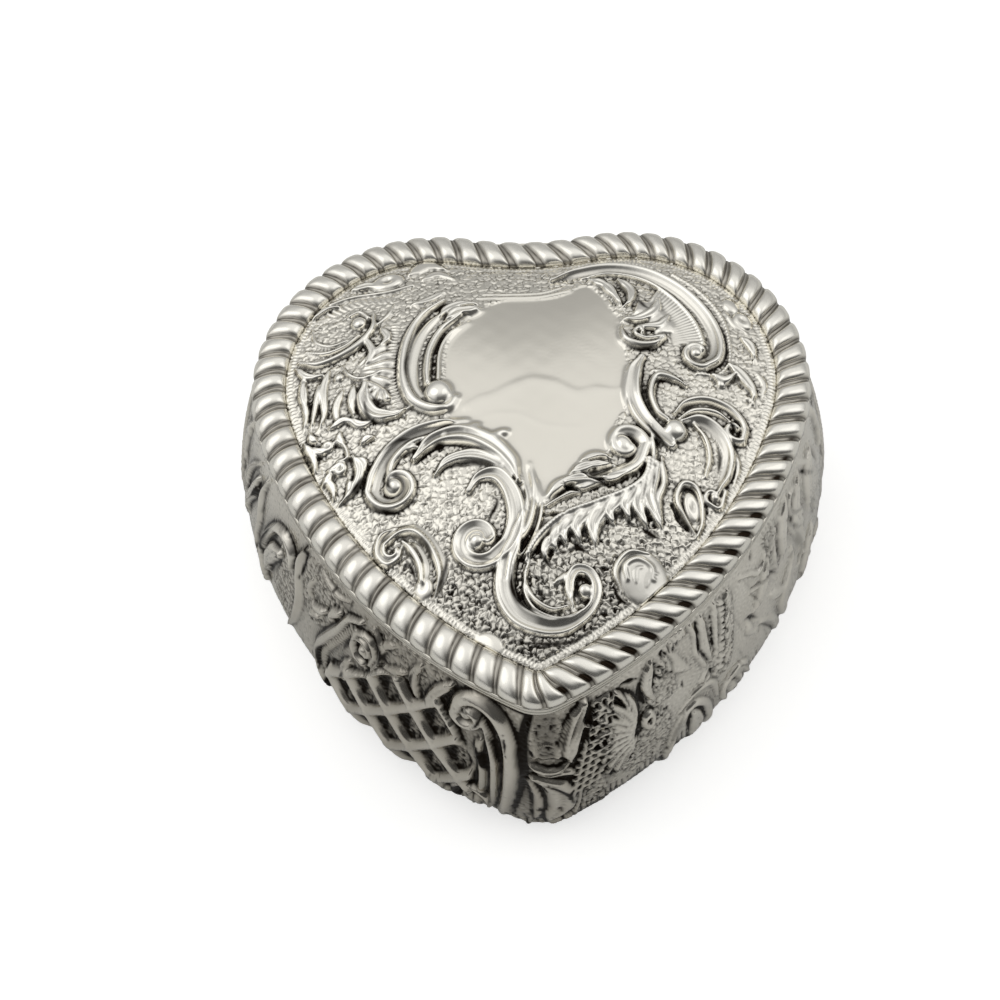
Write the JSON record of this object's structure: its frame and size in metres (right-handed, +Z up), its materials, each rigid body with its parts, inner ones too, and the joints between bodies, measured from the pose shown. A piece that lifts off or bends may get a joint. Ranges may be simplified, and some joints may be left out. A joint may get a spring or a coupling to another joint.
{
  "type": "heart-shaped trinket box",
  "caption": "Heart-shaped hinged trinket box with a bombe wall and domed lid chased with scrolls round a smooth cartouche, and a slanted gadroon border.",
  "frame": {"origin": "on the flat underside of the base, halfway between the centres of the heart's two lobes", "axes": "+Z up, -Y towards the heart's tip, +Y towards the hinge in the cleft, +X to the right seen from the tip"},
  "size_m": [0.0938, 0.0905, 0.0451],
  "materials": {
    "silver": "polished silver, dark in the recesses",
    "velvet": "short-pile velvet",
    "silk": "silk satin",
    "card": "plain card"
  },
  "bodies": {
    "box_body": {"base_plate": "silver", "wall_shell": "silver", "mouth_wire": "silver", "inner_bezel": "silver", "body_hinge_leaf": "silver", "body_knuckle_left": "silver", "body_knuckle_centre": "silver", "body_knuckle_right": "silver", "hinge_pin": "silver", "base_card": "card", "base_pad": "velvet", "side_lining": "velvet"},
    "lid": {"lid_panel": "silver", "gadroon_border": "silver", "edge_wire": "silver", "lid_hinge_leaf": "silver", "lid_knuckle_left": "silver", "lid_knuckle_right": "silver", "lid_card": "card", "lid_pad": "silk"}
  },
  "joints": [
    {"name": "lid_hinge", "type": "hinge", "parent": "box_body", "child": "lid", "pos_m": [0, 0.02895, 0.0318], "axis": [-1, 0, 0], "range_deg": [0, 95]}
  ]
}
